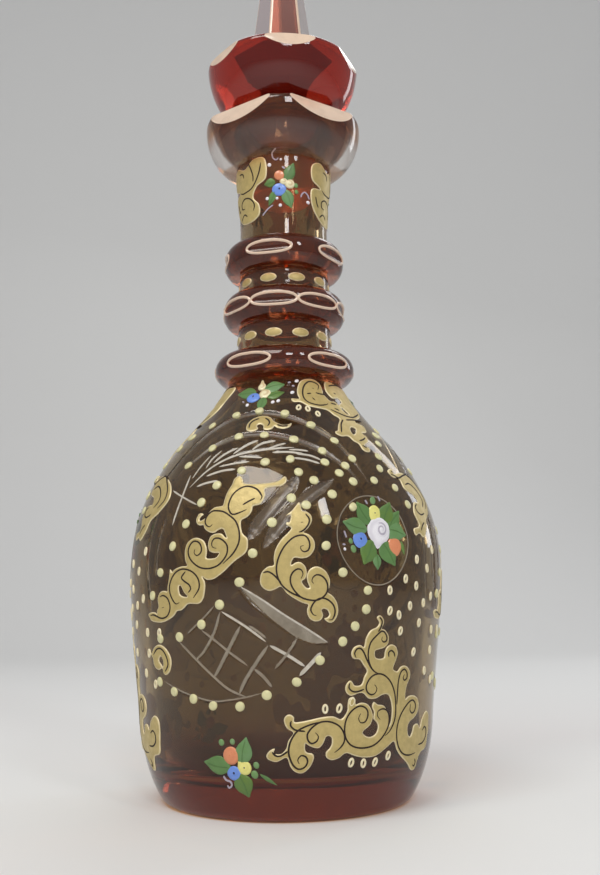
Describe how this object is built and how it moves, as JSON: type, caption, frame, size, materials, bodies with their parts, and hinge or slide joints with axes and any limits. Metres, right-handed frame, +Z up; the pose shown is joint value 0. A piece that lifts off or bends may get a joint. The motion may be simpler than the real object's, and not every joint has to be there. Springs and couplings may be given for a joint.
{
  "type": "glass decanter with stopper",
  "caption": "Ring-necked cut-glass decanter, amber stained, with raised gold scrolls, enamel flowers and a loose spire stopper.",
  "frame": {"origin": "centre of the foot, on the surface the bottle stands on", "axes": "+Z up along the bottle's axis; -Y is the side the picture shows"},
  "size_m": [0.1224, 0.1225, 0.3834],
  "materials": {
    "amber_glass": "polished, amber stain",
    "ring_glass": "polished, red-brown stain",
    "lip_glass": "polished, stained on its upper half",
    "ground_glass": "ground matt",
    "ruby_glass": "polished, ruby stain",
    "spire_glass": "cut and polished, brown stain",
    "paste_gold": "raised matt gold",
    "cream_paste": "raised cream enamel with a trace of gold",
    "leaf_enamel": "satin enamel",
    "white_enamel": "satin enamel",
    "blue_enamel": "satin enamel",
    "orange_enamel": "satin enamel",
    "yellow_enamel": "satin enamel"
  },
  "bodies": {
    "bottle": {"vessel": "amber_glass", "neck_ring_lower": "ring_glass", "neck_ring_middle": "ring_glass", "neck_ring_upper": "ring_glass", "mouth_flange": "lip_glass", "gold_scroll_rising": "paste_gold", "gold_scroll_falling": "paste_gold", "gold_scroll_foot": "paste_gold", "gold_scroll_shoulder": "paste_gold", "gold_scroll_side": "paste_gold", "gold_scroll_neck": "paste_gold", "gold_crest": "paste_gold", "gold_neck_ovals": "paste_gold", "bead_arches": "cream_paste", "bead_borders": "cream_paste", "small_gold_rings": "cream_paste", "enamel_leaves": "leaf_enamel", "enamel_roses": "white_enamel", "enamel_blue_flowers": "blue_enamel", "enamel_orange_flowers": "orange_enamel", "enamel_yellow_flowers": "yellow_enamel"},
    "stopper": {"stopper_peg": "ground_glass", "stopper_disc": "ruby_glass", "stopper_spire": "spire_glass"}
  },
  "joints": [
    {"name": "stopper_lift", "type": "slide", "parent": "bottle", "child": "stopper", "axis": [0, 0, 1], "range_m": [0, 0.06]}
  ]
}
